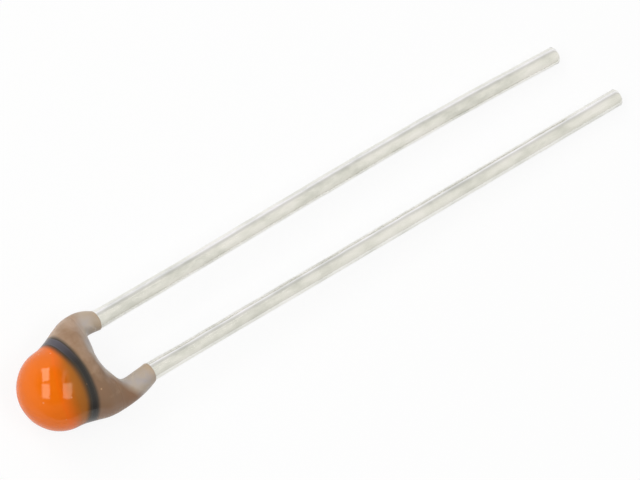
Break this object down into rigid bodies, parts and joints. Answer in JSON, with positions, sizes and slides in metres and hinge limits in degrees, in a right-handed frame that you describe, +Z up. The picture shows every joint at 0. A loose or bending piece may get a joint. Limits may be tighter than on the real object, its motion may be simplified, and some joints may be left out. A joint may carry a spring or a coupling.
{
  "type": "thermistor",
  "caption": "Lacquer-dipped bead thermistor with a forked coat, coloured bands on its round end and straight tinned wire leads, for sensing temperature on a circuit board.",
  "frame": {"origin": "on the surface that the part lies on, under the middle of its box", "axes": "+X from the bead to the lead tips, +Y across to the shorter lead, +Z up from the surface it lies on"},
  "size_m": [0.0262, 0.0038, 0.0025],
  "materials": {
    "lead_wire": "tinned copper wire, drawn, softly bright",
    "base_lacquer": "grey-beige dipped lacquer, satin gloss",
    "brown_lacquer": "brown painted lacquer, glossy",
    "black_lacquer": "black painted lacquer, glossy",
    "orange_lacquer": "orange painted lacquer, glossy",
    "sensor_ceramic": "sintered oxide ceramic, matt",
    "fired_silver": "fired silver, dull",
    "solder": "reflowed tin solder"
  },
  "bodies": {
    "root": {"ceramic_disc": "sensor_ceramic", "top_electrode": "fired_silver", "bottom_electrode": "fired_silver", "left_solder": "solder", "right_solder": "solder", "left_lead": "lead_wire", "right_lead": "lead_wire", "base_coat": "base_lacquer", "brown_band": "brown_lacquer", "black_band": "black_lacquer", "orange_tip": "orange_lacquer"}
  },
  "joints": []
}
